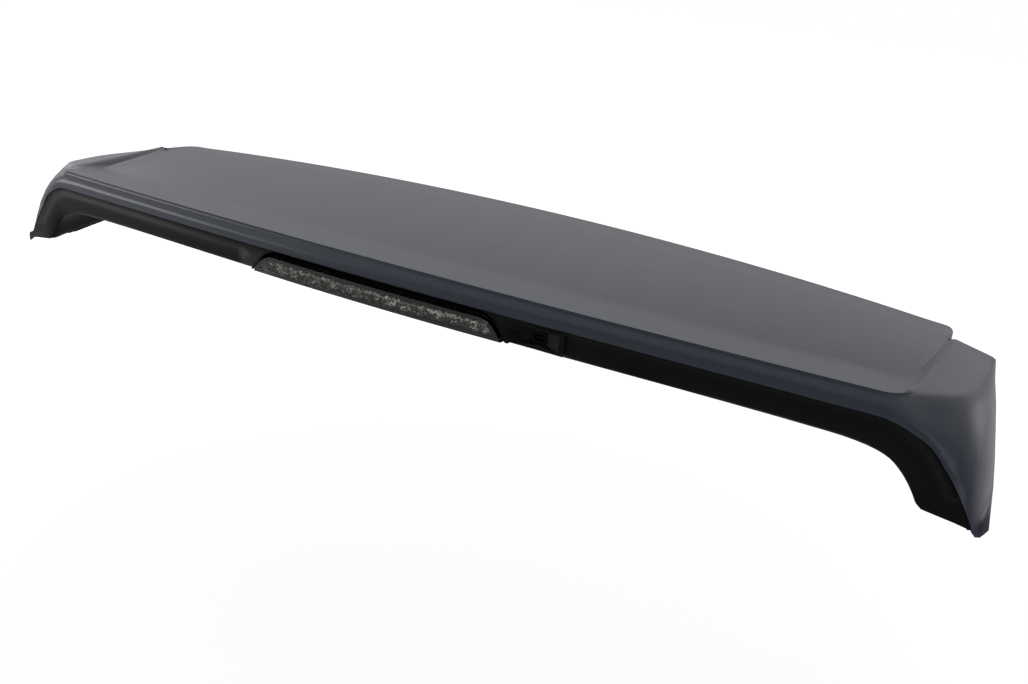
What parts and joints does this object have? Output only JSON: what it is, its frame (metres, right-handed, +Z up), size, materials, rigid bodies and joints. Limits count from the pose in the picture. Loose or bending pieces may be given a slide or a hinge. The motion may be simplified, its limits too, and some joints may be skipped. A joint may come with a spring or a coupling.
{
  "type": "car rear spoiler",
  "caption": "Wide roof spoiler for a car's tailgate: primed upper shell with a raised trailing lip and two down-turned legs, black lower panel, slim stop lamp and washer jet.",
  "frame": {"origin": "middle of the rectangle of four studs, on the plane where the mounting bosses meet the tailgate", "axes": "+X to the right seen from behind the car, along the spoiler; +Y forward, towards the roof; +Z up; the studs point down"},
  "size_m": [1.3068, 0.34, 0.1423],
  "materials": {
    "primer_shell": "satin primer",
    "black_panel": "fine grain",
    "smoked_lens": "smoked, polished",
    "bright_reflector": "metallised",
    "circuit_board": "satin",
    "led_package": "satin",
    "lamp_housing": "satin",
    "foam": "matte foam",
    "zinc_steel": "zinc plated",
    "jet_black": "gloss",
    "white_nylon": "satin"
  },
  "bodies": {
    "root": {"outer_shell": "primer_shell", "under_panel": "black_panel", "stop_lamp_lens": "smoked_lens", "stop_lamp_reflector": "bright_reflector", "stop_lamp_board": "circuit_board", "stop_lamp_leds": "led_package", "stop_lamp_housing": "lamp_housing", "stop_lamp_gasket": "foam", "stop_lamp_screws": "zinc_steel", "washer_jet_body": "jet_black", "washer_jet_insert": "jet_black", "washer_jet_seal": "foam", "mounting_studs": "zinc_steel", "stud_seals": "foam", "shell_screws": "zinc_steel", "front_seal": "foam", "left_leg_seal": "foam", "right_leg_seal": "foam", "leg_clips": "white_nylon"}
  },
  "joints": []
}
